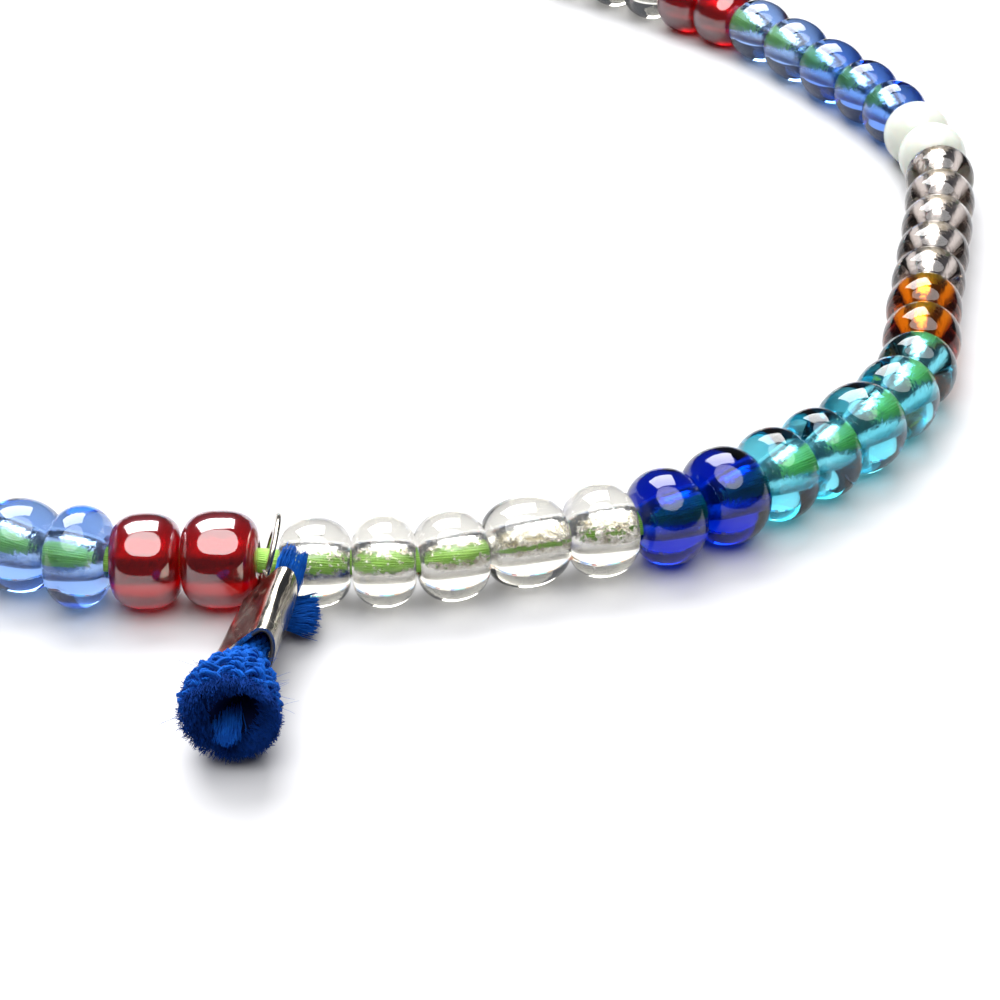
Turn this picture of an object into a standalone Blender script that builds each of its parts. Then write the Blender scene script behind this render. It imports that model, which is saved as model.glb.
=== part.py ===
"""Anklet: a closed loop of glass seed beads on a lime stringing cord, with a folded metal cord end hanging
from the string between two beads and a short blue yarn tail held in it. Metres, +Z up, lying on z = 0."""

import math

import bmesh
import bpy
from mathutils import Matrix, Vector

MM = 0.001

# Driving sizes, in millimetres
BEAD_DIAMETER = 4.0
BEAD_PITCH = 3.05  # length of string that a common bead takes
BEAD_GAP = 0.25  # air left between two beads on the string
BORE_DIAMETER = 1.6
CORD_DIAMETER = 0.95
EYE_SPACE = 0.82  # length of string left free for the cord end's eye
SHEET = 0.28  # thickness of the cord end's metal
EYE_DIAMETER = 3.6
EYE_HOLE = 2.0
CRIMP_LENGTH = 4.1
CRIMP_WIDTH = 2.4
CRIMP_HEIGHT = 2.1
TAIL_LENGTH = 4.8  # yarn in front of the cord end
TAIL_BELL = 4.0
STRAND_DIAMETER = 0.6
BRUSH_DIAMETER = 1.7

BEAD_SIDES = 10
CORD_RESOLUTION = 2
LOOP_STEPS = 16  # samples of the smooth route between two chosen points

# The string's route from above, in millimetres from the middle of the loop, counterclockwise: chosen by eye
ROUTE = (
    (-6.5, -36.2), (-3.9, -37.3), (1.9, -37.3), (8.6, -37.3), (11.4, -36.9), (14.5, -35.9),
    (20.5, -34.3), (25.4, -31.1), (29.6, -27.3), (32.9, -22.2), (34.3, -16.0), (36.9, -4.4),
    (37.4, 1.4), (36.1, 7.2), (33.2, 13.1), (29.3, 19.5), (25.1, 24.0), (20.4, 28.5),
    (13.5, 33.8), (3.0, 37.9), (-9.0, 38.3), (-20.5, 33.8), (-30.0, 25.0), (-35.9, 13.0),
    (-37.2, -0.5), (-33.6, -14.0), (-25.7, -25.4), (-15.5, -32.8),
)

# Beads before and after the cord end, each list counted away from it: the glass, and the shares of
# BEAD_DIAMETER and of BEAD_PITCH
BEFORE_EYE = (
    ("ruby", 1.02, 1.05), ("ruby", 1.0, 0.96), ("sky", 1.08, 0.84), ("sky", 0.99, 1.06),
)
AFTER_EYE = (
    ("clear", 0.94, 0.98), ("clear", 0.96, 0.88), ("clear", 0.95, 0.97), ("clear", 0.96, 1.16),
    ("clear", 1.0, 0.97), ("cobalt", 1.05, 0.96), ("cobalt", 1.08, 1.02), ("aqua", 1.05, 0.92),
    ("aqua", 1.04, 0.85), ("aqua", 1.04, 1.10), ("aqua", 0.98, 1.10), ("aqua", 0.94, 0.88),
    ("amber", 0.94, 1.0), ("amber", 0.93, 0.99), ("smoke", 0.92, 0.92), ("smoke", 0.92, 0.95),
    ("smoke", 0.92, 1.03), ("smoke", 0.92, 1.01), ("smoke", 0.92, 0.95), ("white", 0.92, 0.92),
    ("white", 0.91, 0.98), ("sky", 0.91, 1.0), ("sky", 0.92, 1.03), ("sky", 0.92, 1.2),
    ("sky", 0.92, 1.2), ("sky", 0.92, 1.12), ("ruby", 0.92, 1.0), ("ruby", 0.92, 0.98),
)
HIDDEN_BEADS = 45  # the rest of the loop, which the photograph doesn't show
HIDDEN_SIZE = 0.96
HIDDEN_LENGTH = 1.01

# Half a bead's outline: shares of its half length and of its radius, from the middle outwards
OUTLINE = ((0.32, 1.0), (0.74, 0.87), (1.0, 0.56))

# The folded sheet's section, as shares of the crimp's width and height from its own axis: from the lower
# wing's tip, round the flat plate on the upper left, to the upper wing's tip
SECTION = (
    (0.24, -0.45), (-0.14, -0.5), (-0.5, -0.44), (0.1, 0.4), (0.3, 0.47), (0.46, 0.32), (0.5, 0.06),
    (0.42, -0.16),
)
UPPER_WING = 3  # the section point where the upper wing begins
WING_SHARE = 0.91  # the upper wing's length, as a share of CRIMP_LENGTH
CRIMP_YAW = math.radians(12)  # turned from straight across the string, towards its left end
CRIMP_START = 0.6  # from the eye's middle to the crimp's back end, as a share of EYE_DIAMETER
CRIMP_SIDE = 0.27  # the crimp's axis off the eye's plane, as a share of CRIMP_WIDTH

# The tail's sections: share of TAIL_LENGTH ahead of the cord end, and radius as a share of TAIL_BELL / 2
TAIL = (
    (0.1, 0.5), (0.22, 0.55), (0.45, 0.57), (0.62, 0.72), (0.78, 0.94), (0.92, 1.0), (1.0, 0.93),
    (0.97, 0.66), (0.86, 0.24),
)
LOCKS = 8  # strips of yarn round the tail and round the brush

COLOURS = {
    "sky": ((0.33, 0.50, 0.86), 0.05, 0.0),
    "ruby": ((0.42, 0.01, 0.04), 0.05, 0.0),
    "clear": ((0.90, 0.90, 0.87), 0.05, 0.0),
    "cobalt": ((0.01, 0.03, 0.62), 0.05, 0.0),
    "aqua": ((0.05, 0.45, 0.50), 0.05, 0.0),
    "amber": ((0.70, 0.20, 0.01), 0.05, 0.0),
    "smoke": ((0.36, 0.30, 0.27), 0.05, 0.2),
    "white": ((0.86, 0.89, 0.85), 0.2, 0.0),
    "mixed_glass": ((0.30, 0.50, 0.62), 0.05, 0.0),
    "lime_cord": ((0.42, 0.66, 0.10), 0.8, 0.0),
    "nickel": ((0.66, 0.62, 0.58), 0.18, 1.0),
    "blue_yarn": ((0.01, 0.13, 0.60), 0.9, 0.0),
}


def material(name):
    colour, roughness, metallic = COLOURS[name]
    made = bpy.data.materials.new(name)
    made.use_nodes = True
    shader = made.node_tree.nodes["Principled BSDF"]
    shader.inputs["Base Color"].default_value = (*colour, 1.0)
    shader.inputs["Roughness"].default_value = roughness
    shader.inputs["Metallic"].default_value = metallic
    return made


def add_object(name, bm, look, origin=Vector()):
    """Makes an object of a bmesh given in millimetres, with its origin at a point given in millimetres."""
    bmesh.ops.translate(bm, verts=bm.verts, vec=-origin)
    bmesh.ops.scale(bm, verts=bm.verts, vec=(MM, MM, MM))
    bmesh.ops.recalc_face_normals(bm, faces=bm.faces)
    mesh = bpy.data.meshes.new(name)
    bm.to_mesh(mesh)
    bm.free()
    made = bpy.data.objects.new(name, mesh)
    made.location = origin * MM
    made.data.materials.append(material(look))
    bpy.context.scene.collection.objects.link(made)
    return made


def smooth_loop(points):
    """A closed smooth curve through the points, as a fine list of positions."""
    fine = []
    count = len(points)
    for i in range(count):
        before, start, end, after = (Vector(points[(i + k) % count]) for k in (-1, 0, 1, 2))
        for step in range(LOOP_STEPS):
            t = step / LOOP_STEPS
            fine.append(
                0.5 * (2 * start + (end - before) * t + (2 * before - 5 * start + 4 * end - after) * t**2
                       + (3 * start - before - 3 * end + after) * t**3)
            )
    return fine


class Route:
    """The string's closed route, scaled about a fixed point to the length that the beads need."""

    def __init__(self, points, length, fixed_share):
        fine = smooth_loop(points)
        natural = sum((fine[i] - fine[i - 1]).length for i in range(len(fine)))
        self.points = fine
        self.measure()
        fixed = self.at(fixed_share * natural).xy
        self.points = [fixed + (p - fixed) * (length / natural) for p in fine]
        self.measure()

    def measure(self):
        self.stops = [0.0]
        for i, point in enumerate(self.points):
            following = self.points[(i + 1) % len(self.points)]
            self.stops.append(self.stops[-1] + (following - point).length)

    def at(self, along):
        """The position at a length along the route."""
        along %= self.stops[-1]
        low, high = 0, len(self.points)
        while high - low > 1:
            middle = (low + high) // 2
            low, high = (middle, high) if self.stops[middle] <= along else (low, middle)
        start, end = self.points[low], self.points[(low + 1) % len(self.points)]
        share = (along - self.stops[low]) / (self.stops[low + 1] - self.stops[low])
        return start.lerp(end, share).to_3d()

    def chord(self, along, reach):
        """The direction between two points of the route a little before and after."""
        return (self.at(along + reach) - self.at(along - reach)).normalized()


def ring(bm, centre, direction, radius, sides=BEAD_SIDES, waist=1.0):
    """A many-sided ring across a direction, flat side down. A waist under 1 draws in every second corner."""
    side = direction.cross(Vector((0, 0, 1))).normalized()
    up = side.cross(direction)
    turned = Matrix((side, up, -direction)).transposed().to_4x4()
    placed = Matrix.Translation(centre) @ turned @ Matrix.Rotation(math.pi / sides, 4, "Z")
    verts = bmesh.ops.create_circle(
        bm, segments=sides, radius=radius / math.cos(math.pi / sides), matrix=placed
    )["verts"]
    for vert in verts[::2]:
        vert.co = centre + (vert.co - centre) * waist
    return verts


def skin(bm, rings, closed):
    """Joins rings in order, the last to the first too where the shape is closed, or caps both ends."""
    pairs = list(zip(rings, rings[1:]))
    if closed:
        pairs.append((rings[-1], rings[0]))
    for first, second in pairs:
        for i in range(len(first)):
            bm.faces.new((first[i - 1], first[i], second[i], second[i - 1]))
    if not closed:
        bm.faces.new(rings[0])
        bm.faces.new(rings[-1])


def bead_rings(bm, centre, direction, radius, half_length):
    """The outer rings of one bead, in order along the string."""
    outline = [(-along, out) for along, out in reversed(OUTLINE)] + list(OUTLINE)
    return [
        ring(bm, centre + direction * along * half_length, direction, out * radius)
        for along, out in outline
    ]


def string_layout():
    """Every bead as (glass, radius, length of string, place along the route), in order from the first bead."""
    hidden = [("mixed_glass", HIDDEN_SIZE, HIDDEN_LENGTH)] * HIDDEN_BEADS
    order = list(reversed(BEFORE_EYE)) + [None] + list(AFTER_EYE) + hidden
    beads = []
    along = -order[0][2] * BEAD_PITCH / 2
    eye = 0.0
    for entry in order:
        if entry is None:
            eye = along + EYE_SPACE / 2
            along += EYE_SPACE
            continue
        glass, size, length = entry
        space = length * BEAD_PITCH
        beads.append((glass, size * BEAD_DIAMETER / 2, space, along + space / 2))
        along += space
    return beads, eye, along + order[0][2] * BEAD_PITCH / 2


def make_bead(name, glass, centre, direction, radius, half_length):
    bm = bmesh.new()
    outer = bead_rings(bm, centre, direction, radius, half_length)
    bore = [
        ring(bm, centre + direction * end * half_length, direction, BORE_DIAMETER / 2) for end in (1, -1)
    ]
    skin(bm, outer + bore, closed=True)
    made = add_object(name, bm, glass, centre)
    made.data.shade_smooth()
    made.data.set_sharp_from_angle(angle=math.radians(35))
    return made


def make_hidden_string(places):
    """The beads that the photograph doesn't show, fused end to end into one bored body."""
    bm = bmesh.new()
    outer = []
    bore = []
    for centre, direction, radius, half_length in places:
        outer += bead_rings(bm, centre, direction, radius, half_length)
        for end in (-1, 1):
            bore.append(ring(bm, centre + direction * end * half_length, direction, BORE_DIAMETER / 2))
    skin(bm, outer + bore[::-1], closed=True)
    return add_object("hidden_string", bm, "mixed_glass")


def make_stringing_cord(points):
    """The closed lime cord through every bore."""
    curve = bpy.data.curves.new("stringing_cord", "CURVE")
    curve.dimensions = "3D"
    curve.bevel_depth = CORD_DIAMETER / 2 * MM
    curve.bevel_resolution = CORD_RESOLUTION
    spline = curve.splines.new("POLY")
    spline.points.add(len(points) - 1)
    for point, place in zip(spline.points, points):
        point.co = (*(place * MM), 1.0)
    spline.use_cyclic_u = True
    made = bpy.data.objects.new("stringing_cord", curve)
    made.data.materials.append(material("lime_cord"))
    bpy.context.scene.collection.objects.link(made)
    return made


class CordEndFrame:
    """Places in millimetres from the eye's middle: ahead towards the tail, to the right of that, and up."""

    def __init__(self, eye):
        self.eye = eye
        self.ahead = Vector((-math.sin(CRIMP_YAW), -math.cos(CRIMP_YAW), 0))
        self.right = Vector((math.cos(CRIMP_YAW), -math.sin(CRIMP_YAW), 0))

    def at(self, ahead, right, up):
        return self.eye + self.ahead * ahead + self.right * right + Vector((0, 0, up))


def joined(target, helper):
    """Unites a helper body with the target, and leaves the helper out of renders."""
    union = target.modifiers.new(helper.name, "BOOLEAN")
    union.operation = "UNION"
    union.solver = "EXACT"
    union.object = helper
    helper.hide_render = True
    helper.display_type = "WIRE"


def make_crimp_sheet(frame):
    """The folded sheet round the yarn: a flat plate, a short lower wing and a rolled upper wing."""
    bm = bmesh.new()
    start = CRIMP_START * EYE_DIAMETER
    stations = (start, start + WING_SHARE * CRIMP_LENGTH, start + CRIMP_LENGTH)
    rows = []
    for ahead in stations:
        rows.append([
            bm.verts.new(frame.at(ahead, (across + CRIMP_SIDE) * CRIMP_WIDTH, up * CRIMP_HEIGHT))
            for across, up in SECTION
        ])
    for station in range(len(stations) - 1):
        for i in range(len(SECTION) - 1):
            if station == 1 and i >= UPPER_WING:
                continue
            near, far = rows[station], rows[station + 1]
            bm.faces.new((near[i], near[i + 1], far[i + 1], far[i]))
    loose = [vert for vert in bm.verts if not vert.link_faces]
    bmesh.ops.delete(bm, geom=loose, context="VERTS")
    made = add_object("cord_end", bm, "nickel", frame.eye)
    solid = made.modifiers.new("sheet", "SOLIDIFY")
    solid.thickness = SHEET * MM
    solid.offset = 0
    solid.use_even_offset = True
    return made


def make_eye(frame, direction):
    """The ring that the stringing cord passes through, across the string."""
    bm = bmesh.new()
    hole, rim = EYE_HOLE / 2, EYE_DIAMETER / 2
    rings = [
        ring(bm, frame.eye + direction * end * SHEET / 2, direction, radius, sides=20)
        for end, radius in ((-1, hole), (-1, rim), (1, rim), (1, hole))
    ]
    skin(bm, rings, closed=True)
    return add_object("eye_ring", bm, "nickel", frame.eye)


def make_neck(frame):
    """The twisted strip between the eye's rim and the flat plate."""
    bm = bmesh.new()
    rim = 0.42 * EYE_DIAMETER
    plate = CRIMP_START * EYE_DIAMETER + SHEET
    middle = (SECTION[2][0] + SECTION[3][0]) / 2 + CRIMP_SIDE
    slope = Vector((SECTION[3][0] - SECTION[2][0], SECTION[3][1] - SECTION[2][1])).normalized()
    ends = ((rim, 0.0, 0.0, Vector((0, 1)), 0.15), (plate, middle * CRIMP_WIDTH, 0.0, slope, 0.3))
    loops = []
    for ahead, right, up, along, half_share in ends:
        across = Vector((along.y, -along.x)) * SHEET * 0.45
        reach = along * half_share * CRIMP_WIDTH
        corners = (across + reach, across - reach, -across - reach, reach - across)
        loops.append([bm.verts.new(frame.at(ahead, right + c.x, up + c.y)) for c in corners])
    skin(bm, loops, closed=False)
    return add_object("neck_strip", bm, "nickel", frame.eye)


def make_cord_end(frame, direction):
    body = make_crimp_sheet(frame)
    joined(body, make_neck(frame))
    joined(body, make_eye(frame, direction))
    return body


def make_tail(frame):
    """The yarn through the crimp, and in front of it the braid that opens into a frayed bell."""
    bm = bmesh.new()
    front = CRIMP_START * EYE_DIAMETER + CRIMP_LENGTH
    core_side = (CRIMP_SIDE + 0.14) * CRIMP_WIDTH
    core_up = -0.1 * CRIMP_HEIGHT
    straight = Vector((0, -1, 0))
    mouth = frame.at(front, core_side, core_up)
    rise = TAIL_BELL * 0.66 - mouth.z
    rings = [
        ring(bm, frame.at(ahead, core_side, core_up), frame.ahead, STRAND_DIAMETER * 0.45, 2 * LOCKS)
        for ahead in (CRIMP_START * EYE_DIAMETER + 2 * SHEET, front)
    ]
    for ahead, size in TAIL:
        centre = mouth + straight * ahead * TAIL_LENGTH + Vector((0, 0, rise * ahead))
        rings.append(ring(bm, centre, straight, size * TAIL_BELL / 2, 2 * LOCKS, waist=0.87))
    skin(bm, rings, closed=False)
    return add_object("yarn_tail", bm, "blue_yarn", mouth)


def make_brush(frame):
    """The yarn's other end: strands over the crimp's back edge, down to a short frayed brush."""
    bm = bmesh.new()
    back = CRIMP_START * EYE_DIAMETER
    right = CRIMP_WIDTH
    top = CRIMP_HEIGHT
    strand = STRAND_DIAMETER / 2
    brush = BRUSH_DIAMETER / 2
    steps = (
        (back - 0.22 * right, 0.45 * right, 0.22 * top, strand),
        (back - 0.2 * right, 0.55 * right, 0.5 * top, strand),
        (back - 0.13 * right, 0.8 * right, 0.56 * top, strand),
        (back - 0.02 * right, 1.04 * right, 0.43 * top, strand),
        (back, 1.11 * right, 0.14 * top, strand),
        (back + 0.02 * right, 1.13 * right, -0.14 * top, strand),
        (back + 0.1 * right, 1.15 * right, -0.35 * top, 0.7 * brush),
        (back + 0.26 * right, 1.14 * right, -0.6 * top, brush),
        (back + 0.52 * right, 1.12 * right, -0.62 * top, 0.85 * brush),
    )
    centres = [frame.at(ahead, side, up) for ahead, side, up, _ in steps]
    rings = []
    for i, centre in enumerate(centres):
        travel = centres[min(i + 1, len(centres) - 1)] - centres[max(i - 1, 0)]
        rings.append(ring(bm, centre, travel.normalized(), steps[i][3], 2 * LOCKS, waist=0.88))
    skin(bm, rings, closed=False)
    return add_object("yarn_brush", bm, "blue_yarn", centres[0])


def stand_on_origin(made):
    """Moves everything so that the middle of the whole box's underside is at the origin."""
    bpy.context.view_layer.update()
    graph = bpy.context.evaluated_depsgraph_get()
    corners = []
    for piece in made:
        if not piece.hide_render:
            found = piece.evaluated_get(graph)
            mesh = found.to_mesh()
            corners += [piece.matrix_world @ vert.co for vert in mesh.vertices]
            found.to_mesh_clear()
    low = Vector(map(min, zip(*corners)))
    high = Vector(map(max, zip(*corners)))
    shift = Vector(((low.x + high.x) / 2, (low.y + high.y) / 2, low.z))
    for piece in made:
        piece.location -= shift


def main():
    for leftover in list(bpy.data.objects):
        bpy.data.objects.remove(leftover)
    beads, eye_place, length = string_layout()
    route = Route(ROUTE, length, eye_place / length)
    hidden_places = []
    cord_points = []
    for number, (glass, radius, space, along) in enumerate(beads, start=1):
        centre = route.at(along) + Vector((0, 0, radius))
        direction = route.chord(along, space / 2)
        half_length = (space - BEAD_GAP) / 2
        cord_points.append(centre)
        if number <= len(BEFORE_EYE) + len(AFTER_EYE):
            make_bead(f"bead_{number:02d}", glass, centre, direction, radius, half_length)
        else:
            hidden_places.append((centre, direction, radius, half_length))
        if number == len(BEFORE_EYE):
            eye = route.at(eye_place) + Vector((0, 0, BEAD_DIAMETER / 2))
            cord_points.append(eye)
    make_hidden_string(hidden_places)
    make_stringing_cord(cord_points)
    frame = CordEndFrame(eye + Vector((0, 0, EYE_HOLE / 8)))
    make_cord_end(frame, route.chord(eye_place, EYE_SPACE))
    make_tail(frame)
    make_brush(frame)
    stand_on_origin(list(bpy.context.scene.collection.objects))


main()
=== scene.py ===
import math
import random

import bpy
from mathutils import Matrix, Vector, noise


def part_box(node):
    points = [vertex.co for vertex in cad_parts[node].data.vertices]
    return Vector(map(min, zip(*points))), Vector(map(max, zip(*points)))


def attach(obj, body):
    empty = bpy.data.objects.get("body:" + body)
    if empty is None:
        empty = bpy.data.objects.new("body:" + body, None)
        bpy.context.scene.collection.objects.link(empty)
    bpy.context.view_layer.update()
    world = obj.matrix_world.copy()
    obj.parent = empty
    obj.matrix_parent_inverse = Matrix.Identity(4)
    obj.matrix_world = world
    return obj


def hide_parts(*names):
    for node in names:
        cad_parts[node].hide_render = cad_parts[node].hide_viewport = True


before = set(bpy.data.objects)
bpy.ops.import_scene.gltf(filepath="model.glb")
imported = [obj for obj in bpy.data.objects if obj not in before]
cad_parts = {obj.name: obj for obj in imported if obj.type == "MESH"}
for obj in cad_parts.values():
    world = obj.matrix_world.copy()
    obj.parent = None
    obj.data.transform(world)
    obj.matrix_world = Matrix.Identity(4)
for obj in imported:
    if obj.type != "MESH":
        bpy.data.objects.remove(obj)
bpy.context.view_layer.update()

MM = 0.001
UP = Vector((0, 0, 1))
TOWARDS = Vector((0, -1, 0))  # from the loop's middle to its front, and the camera

# Camera: millimetres in the string's own coordinates, and degrees
CAMERA_PLACE = (13.5, -115.0, 57.4)
CAMERA_PITCH = 34.0
FOCAL_PIXELS = 2307.0
FRAME_PIXELS = 1000.0
SENSOR_WIDTH = 36.0

# The string, as the part has it, in millimetres
BEAD_DIAMETER = 4.0
BEAD_PITCH = 3.05
EYE_SPACE = 0.82
BORE_SHARE = 0.325  # the bore's radius, as a share of the bead's
TOUCH_GAP = 0.03  # what is left between two beads pushed together
CORD_DIAMETER = 1.05
CORD_STRANDS = 34
CORD_TURNS = 7  # of the strands round the cord, over the whole loop
CORD_STEPS = 540
LOOP_STEPS = 16
# The points that the string's middle goes through
ROUTE = (
    (-6.5, -36.2), (-3.9, -37.3), (1.9, -37.3), (8.6, -37.3), (11.4, -36.9), (14.5, -35.9),
    (20.5, -34.3), (25.4, -31.1), (29.6, -27.3), (32.9, -22.2), (34.3, -16.0), (36.9, -4.4),
    (37.4, 1.4), (36.1, 7.2), (33.2, 13.1), (29.3, 19.5), (25.1, 24.0), (20.4, 28.5),
    (13.5, 33.8), (3.0, 37.9), (-9.0, 38.3), (-20.5, 33.8), (-30.0, 25.0), (-35.9, 13.0),
    (-37.2, -0.5), (-33.6, -14.0), (-25.7, -25.4), (-15.5, -32.8),
)
# The beads, going away from the cord end's eye to the left and to the right: glass, diameter as a share of
# BEAD_DIAMETER, and length as a share of BEAD_PITCH
BEFORE_EYE = (
    ("ruby", 1.02, 1.05), ("ruby", 1.0, 0.96), ("sky", 1.08, 0.84), ("sky", 0.99, 1.06),
)
AFTER_EYE = (
    ("clear", 0.94, 0.98), ("clear", 0.96, 0.88), ("clear", 0.95, 0.97), ("clear", 0.96, 1.16),
    ("clear", 1.0, 0.97), ("cobalt", 1.05, 0.96), ("cobalt", 1.08, 1.02), ("aqua", 1.05, 0.92),
    ("aqua", 1.04, 0.85), ("aqua", 1.04, 1.10), ("aqua", 0.98, 1.10), ("aqua", 0.94, 0.88),
    ("amber", 0.94, 1.0), ("amber", 0.93, 0.99), ("smoke", 0.92, 0.92), ("smoke", 0.92, 0.95),
    ("smoke", 0.92, 1.03), ("smoke", 0.92, 1.01), ("smoke", 0.92, 0.95), ("white", 0.92, 0.92),
    ("white", 0.91, 0.98), ("sky", 0.91, 1.0), ("sky", 0.92, 1.03), ("sky", 0.92, 1.2),
    ("sky", 0.92, 1.2), ("sky", 0.92, 1.12), ("ruby", 0.92, 1.0), ("ruby", 0.92, 0.98),
)
# The beads of the stretch that the photograph doesn't show, by runs of one glass
HIDDEN_RUNS = (
    ("clear", 5), ("cobalt", 2), ("aqua", 5), ("amber", 2), ("smoke", 5), ("white", 2), ("sky", 5),
    ("ruby", 2), ("clear", 5), ("cobalt", 2), ("aqua", 5), ("amber", 2), ("sky", 3),
)
HIDDEN_SIZE = 0.96
HIDDEN_LENGTH = 1.01
BUBBLED_BEADS = 16  # the first ones, near enough for the bubbles in their glass to be seen
DEEPER_BEADS = (26, 27, 28)  # light blue beads of a deeper tone, next to the white ones
# How much of the silver film is kept in its worn strip and elsewhere, and that strip's middle and half
# width in degrees up from level, on the loop's outer side
FILM_WEAR = {
    5: (-0.05, 0.12, 34, 85), 6: (-0.055, 0.12, 30, 85), 7: (-0.07, 0.16, 42, 70),
    8: (-0.08, 0.25, 15, 22), 9: (0.01, 0.2, 20, 60),
}
FILM_USUAL = (0.0, 0.22, 34, 40)

# The cord end, as the part has it, in millimetres from the eye's middle
EYE_HEIGHT = 2.25
EYE_RADIUS = 1.8
EYE_HOLE_RADIUS = 1.0
EYE_LEAN = math.radians(-16)  # the ring's top leans to the right
CRIMP_YAW = math.radians(12)
CRIMP_START = 2.16
CRIMP_LENGTH = 4.1
SHEET = 0.2
# The fold, from the lower wing's tip round to the upper wing's: to the right at the back end, to the right
# at the front end, and up
FOLD = (
    (0.62, 0.5, -1.02), (0.25, 0.2, -1.12), (-0.1, -0.1, -1.17), (-0.36, -0.38, -1.12), (-0.5, -0.5, -0.98),
    (-0.28, -0.22, -0.7), (0.06, 0.2, -0.27), (0.42, 0.62, 0.17), (0.78, 1.04, 0.6), (1.04, 1.36, 0.9),
    (1.22, 1.56, 1.04), (1.42, 1.76, 1.05), (1.6, 1.95, 0.92), (1.72, 2.06, 0.66), (1.76, 2.08, 0.3),
    (1.73, 2.0, -0.12), (1.67, 1.87, -0.58), (1.56, 1.7, -1.02),
)
# The yarn in front of the crimp: ahead of its mouth, radius, and its middle's place to the right and rise
TAIL_PROFILE = (
    (-3.0, 0.4, 0.0, 0.1), (-0.4, 0.5, -0.08, 0.0), (0.0, 0.58, -0.1, -0.04), (0.5, 0.84, -0.2, -0.06),
    (1.0, 1.14, -0.36, 0.0), (1.9, 1.54, -0.5, 0.17), (2.6, 1.76, -0.58, 0.3), (3.3, 1.87, -0.55, 0.38),
    (4.0, 1.93, -0.48, 0.43), (4.7, 1.92, -0.42, 0.45),
)
BRAID_START = -3.0
BRAID_END = 4.1
BRAID_LAY = 0.8  # radians round the tail for each millimetre ahead
BRAID_PLIES = 12  # each way round
BRAID_FIBRES = 7  # in each ply
BRAID_STEPS = 72
PLY_RADIUS = 0.078
BELL_RIM = 4.1
BELL_RADIUS = 1.93
HOLLOW_DEPTH = 1.7
HOLLOW_PLACE = (1.15, 0.36)  # how far the fibres at the bell's middle are drawn to the right, and up
# How many fibres there are, and how thick in millimetres
BRAID_THICKNESS = 0.105
BELL_FIBRES, BELL_THICKNESS = 3400, 0.05
FUZZ_HAIRS = 1500
TUFT_FIBRES = 420
STRAY_HAIRS, STRAY_THICKNESS = 26, 0.02
BRUSH_STRANDS, BRUSH_FIBRES, BRUSH_THICKNESS = 170, 1500, 0.058
# The strands over the crimp's back edge: the left and the right edge of their fan, from the crimp up and
# over, each place ahead of the eye's middle, to its right and up
FAN_EDGES = (
    ((2.7, 1.0, 0.1), (2.2, 1.08, 0.5), (1.8, 1.14, 0.86), (1.5, 1.2, 1.08), (1.15, 1.24, 1.26),
     (0.75, 1.28, 1.32)),
    ((2.3, 1.1, -1.2), (2.05, 1.36, -0.7), (1.85, 1.6, -0.15), (1.6, 1.76, 0.4), (1.25, 1.84, 0.9),
     (0.85, 1.86, 1.24)),
)

GLASS_IOR = 1.52
LEAST_SHARE = 0.0002  # of a colour's light: what any glass still lets through at its depth
WORLD_STRENGTH = 0.08
# Each light's name, shape, place and size in metres, where it points, and its brightness
LAMPS = (
    ("overhead_softbox", "ELLIPSE", (0.0, -0.15, 0.36), (0.56, 0.47), (0.0, -0.15, 0), 3.6),
    ("back_panel", "RECTANGLE", (-0.1, 0.4, 0.55), (0.6, 0.46), (0.01, -0.02, 0), 12.0),
)


def linear(code):
    """A linear colour from an sRGB hex code."""
    channels = [int(code[i:i + 2], 16) / 255 for i in (1, 3, 5)]
    return tuple(c / 12.92 if c <= 0.04045 else ((c + 0.055) / 1.055) ** 2.4 for c in channels) + (1.0,)


def new_material(name):
    made = bpy.data.materials.new(name)
    made.use_nodes = True
    made.node_tree.nodes.clear()
    return made, made.node_tree


def add_node(tree, kind, settings=None, **links):
    """Adds a node, sets its properties, and links or sets its inputs, by name or by number as in i0."""
    node = tree.nodes.new(kind)
    for key, value in (settings or {}).items():
        setattr(node, key, value)
    for name, value in links.items():
        socket = node.inputs[int(name[1:])] if name[1:].isdigit() else node.inputs[name.replace("_", " ")]
        if isinstance(value, bpy.types.NodeSocket):
            tree.links.new(value, socket)
        else:
            socket.default_value = value
    return node


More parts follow.
